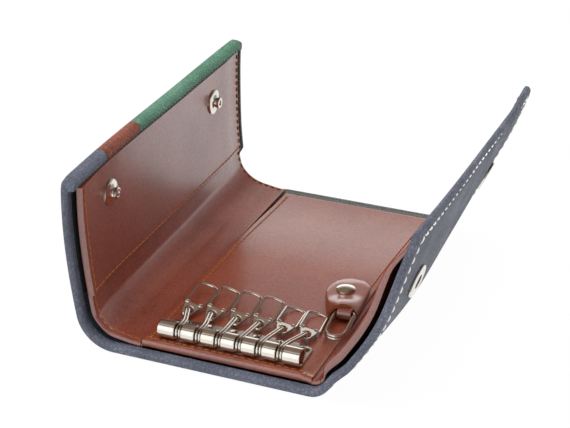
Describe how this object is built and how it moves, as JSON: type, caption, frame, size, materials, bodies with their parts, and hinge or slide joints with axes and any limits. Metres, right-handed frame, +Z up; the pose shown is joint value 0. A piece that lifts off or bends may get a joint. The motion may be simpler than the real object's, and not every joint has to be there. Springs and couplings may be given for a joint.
{
  "type": "key case",
  "caption": "Tri-fold leather key case standing open, with key hooks that swing on a metal bar, a ring on a riveted tab, and snap fasteners on its flaps.",
  "frame": {"origin": "middle of the face of the back that the case rests on", "axes": "+X across the folds towards the flap with the sockets, +Y along the folds away from the key bar, +Z up"},
  "size_m": [0.1097, 0.12, 0.057],
  "materials": {
    "blue_leather": "smooth blue-grey leather, half matt",
    "brown_leather": "smooth brown leather",
    "green_leather": "smooth green leather",
    "lining_leather": "glossy cognac brown leather",
    "board": "pressed fibre board, hidden",
    "nickel": "bright nickel plate"
  },
  "bodies": {
    "back": {"back_near_patch": "blue_leather", "back_middle_patch": "brown_leather", "back_far_patch": "green_leather", "back_board": "board", "back_lining": "lining_leather", "back_pocket": "lining_leather", "back_under_pocket": "lining_leather", "key_bar": "nickel", "bar_rod": "nickel", "bar_rivets": "nickel", "tab_strap": "lining_leather", "tab_rivet": "nickel"},
    "left_side": {"left_side_near_patch": "blue_leather", "left_side_middle_patch": "brown_leather", "left_side_far_patch": "green_leather", "left_side_lining": "lining_leather"},
    "left_flap": {"left_flap_near_patch": "blue_leather", "left_flap_middle_patch": "brown_leather", "left_flap_far_patch": "green_leather", "left_flap_board": "board", "left_flap_lining": "lining_leather", "left_flap_pocket": "lining_leather", "snap_studs": "nickel", "stud_backs": "nickel"},
    "right_side": {"right_side_leather": "blue_leather", "right_side_lining": "lining_leather"},
    "right_flap": {"right_flap_leather": "blue_leather", "right_flap_board": "board", "right_flap_lining": "lining_leather", "snap_sockets": "nickel", "socket_caps": "nickel"},
    "ring": {"tab_ring": "nickel"},
    "link_1": {"hook_link_1": "nickel"},
    "plate_1": {"hook_plate_1": "nickel"},
    "loop_1": {"hook_loop_1": "nickel"},
    "link_2": {"hook_link_2": "nickel"},
    "plate_2": {"hook_plate_2": "nickel"},
    "loop_2": {"hook_loop_2": "nickel"},
    "link_3": {"hook_link_3": "nickel"},
    "plate_3": {"hook_plate_3": "nickel"},
    "loop_3": {"hook_loop_3": "nickel"},
    "link_4": {"hook_link_4": "nickel"},
    "plate_4": {"hook_plate_4": "nickel"},
    "loop_4": {"hook_loop_4": "nickel"},
    "link_5": {"hook_link_5": "nickel"},
    "plate_5": {"hook_plate_5": "nickel"},
    "loop_5": {"hook_loop_5": "nickel"},
    "link_6": {"hook_link_6": "nickel"},
    "plate_6": {"hook_plate_6": "nickel"},
    "loop_6": {"hook_loop_6": "nickel"}
  },
  "joints": [
    {"name": "left_side_fold", "type": "hinge", "parent": "back", "child": "left_side", "pos_m": [-0.0235, 0, 0.00335], "axis": [0, -1, 0], "range_deg": [-75.31, 0]},
    {"name": "left_flap_fold", "type": "hinge", "parent": "left_side", "child": "left_flap", "pos_m": [-0.04157, 0, 0.00809], "axis": [0, -1, 0], "range_deg": [-17.76, 87.13]},
    {"name": "right_side_fold", "type": "hinge", "parent": "back", "child": "right_side", "pos_m": [0.03439, 0, 0.00401], "axis": [0, 1, 0], "range_deg": [-48.5, 0]},
    {"name": "right_flap_fold", "type": "hinge", "parent": "right_side", "child": "right_flap", "pos_m": [0.04251, 0, 0.01119], "axis": [0, 1, 0], "range_deg": [-66, 65.51]},
    {"name": "link_1_swing", "type": "hinge", "parent": "back", "child": "link_1", "pos_m": [-0.01245, -0.0517, 0.00755], "axis": [1, 0, 0], "range_deg": [0, 150]},
    {"name": "plate_1_turn", "type": "hinge", "parent": "link_1", "child": "plate_1", "pos_m": [-0.01607, -0.0382, 0.00674], "axis": [0.2079, 0.0444, 0.9771], "range_deg": [-4, 12]},
    {"name": "loop_1_tip", "type": "hinge", "parent": "plate_1", "child": "loop_1", "pos_m": [-0.01613, -0.0346, 0.00659], "axis": [0.978, 0.008, -0.2085], "range_deg": [0, 100]},
    {"name": "link_2_swing", "type": "hinge", "parent": "back", "child": "link_2", "pos_m": [-0.00591, -0.0517, 0.00755], "axis": [1, 0, 0], "range_deg": [0, 150]},
    {"name": "plate_2_turn", "type": "hinge", "parent": "link_2", "child": "plate_2", "pos_m": [-0.00846, -0.03796, 0.00673], "axis": [0.2079, 0.0444, 0.9771], "range_deg": [-4, 12]},
    {"name": "loop_2_tip", "type": "hinge", "parent": "plate_2", "child": "loop_2", "pos_m": [-0.00858, -0.03436, 0.00659], "axis": [0.9776, 0.0254, -0.2092], "range_deg": [0, 100]},
    {"name": "link_3_swing", "type": "hinge", "parent": "back", "child": "link_3", "pos_m": [0.00063, -0.0517, 0.00755], "axis": [1, 0, 0], "range_deg": [0, 150]},
    {"name": "plate_3_turn", "type": "hinge", "parent": "link_3", "child": "plate_3", "pos_m": [-0.00035, -0.03776, 0.00672], "axis": [0.2079, 0.0444, 0.9771], "range_deg": [-6, 12]},
    {"name": "loop_3_tip", "type": "hinge", "parent": "plate_3", "child": "loop_3", "pos_m": [-0.00062, -0.03417, 0.00661], "axis": [0.9751, 0.069, -0.2106], "range_deg": [0, 100]},
    {"name": "link_4_swing", "type": "hinge", "parent": "back", "child": "link_4", "pos_m": [0.00717, -0.0517, 0.00755], "axis": [1, 0, 0], "range_deg": [0, 150]},
    {"name": "plate_4_turn", "type": "hinge", "parent": "link_4", "child": "plate_4", "pos_m": [0.00717, -0.03772, 0.00672], "axis": [0.2079, 0.0444, 0.9771], "range_deg": [-6, 12]},
    {"name": "loop_4_tip", "type": "hinge", "parent": "plate_4", "child": "loop_4", "pos_m": [0.00688, -0.03414, 0.00661], "axis": [0.9749, 0.0725, -0.2107], "range_deg": [0, 100]},
    {"name": "link_5_swing", "type": "hinge", "parent": "back", "child": "link_5", "pos_m": [0.01371, -0.0517, 0.00755], "axis": [1, 0, 0], "range_deg": [0, 150]},
    {"name": "plate_5_turn", "type": "hinge", "parent": "link_5", "child": "plate_5", "pos_m": [0.01481, -0.03777, 0.00672], "axis": [0.2079, 0.0444, 0.9771], "range_deg": [-6, 12]},
    {"name": "loop_5_tip", "type": "hinge", "parent": "plate_5", "child": "loop_5", "pos_m": [0.0145, -0.03418, 0.00662], "axis": [0.9744, 0.0777, -0.2109], "range_deg": [0, 100]},
    {"name": "link_6_swing", "type": "hinge", "parent": "back", "child": "link_6", "pos_m": [0.02025, -0.0517, 0.00755], "axis": [1, 0, 0], "range_deg": [0, 150]},
    {"name": "plate_6_turn", "type": "hinge", "parent": "link_6", "child": "plate_6", "pos_m": [0.02256, -0.03792, 0.00672], "axis": [0.2079, 0.0444, 0.9771], "range_deg": [0, 12]},
    {"name": "loop_6_tip", "type": "hinge", "parent": "plate_6", "child": "loop_6", "pos_m": [0.02216, -0.03434, 0.00665], "axis": [0.9719, 0.1037, -0.2115], "range_deg": [0, 100]},
    {"name": "ring_swing", "type": "hinge", "parent": "back", "child": "ring", "pos_m": [0.02911, -0.02256, 0.0071], "axis": [-0.9969, -0.0785, 0], "range_deg": [0, 140]}
  ]
}
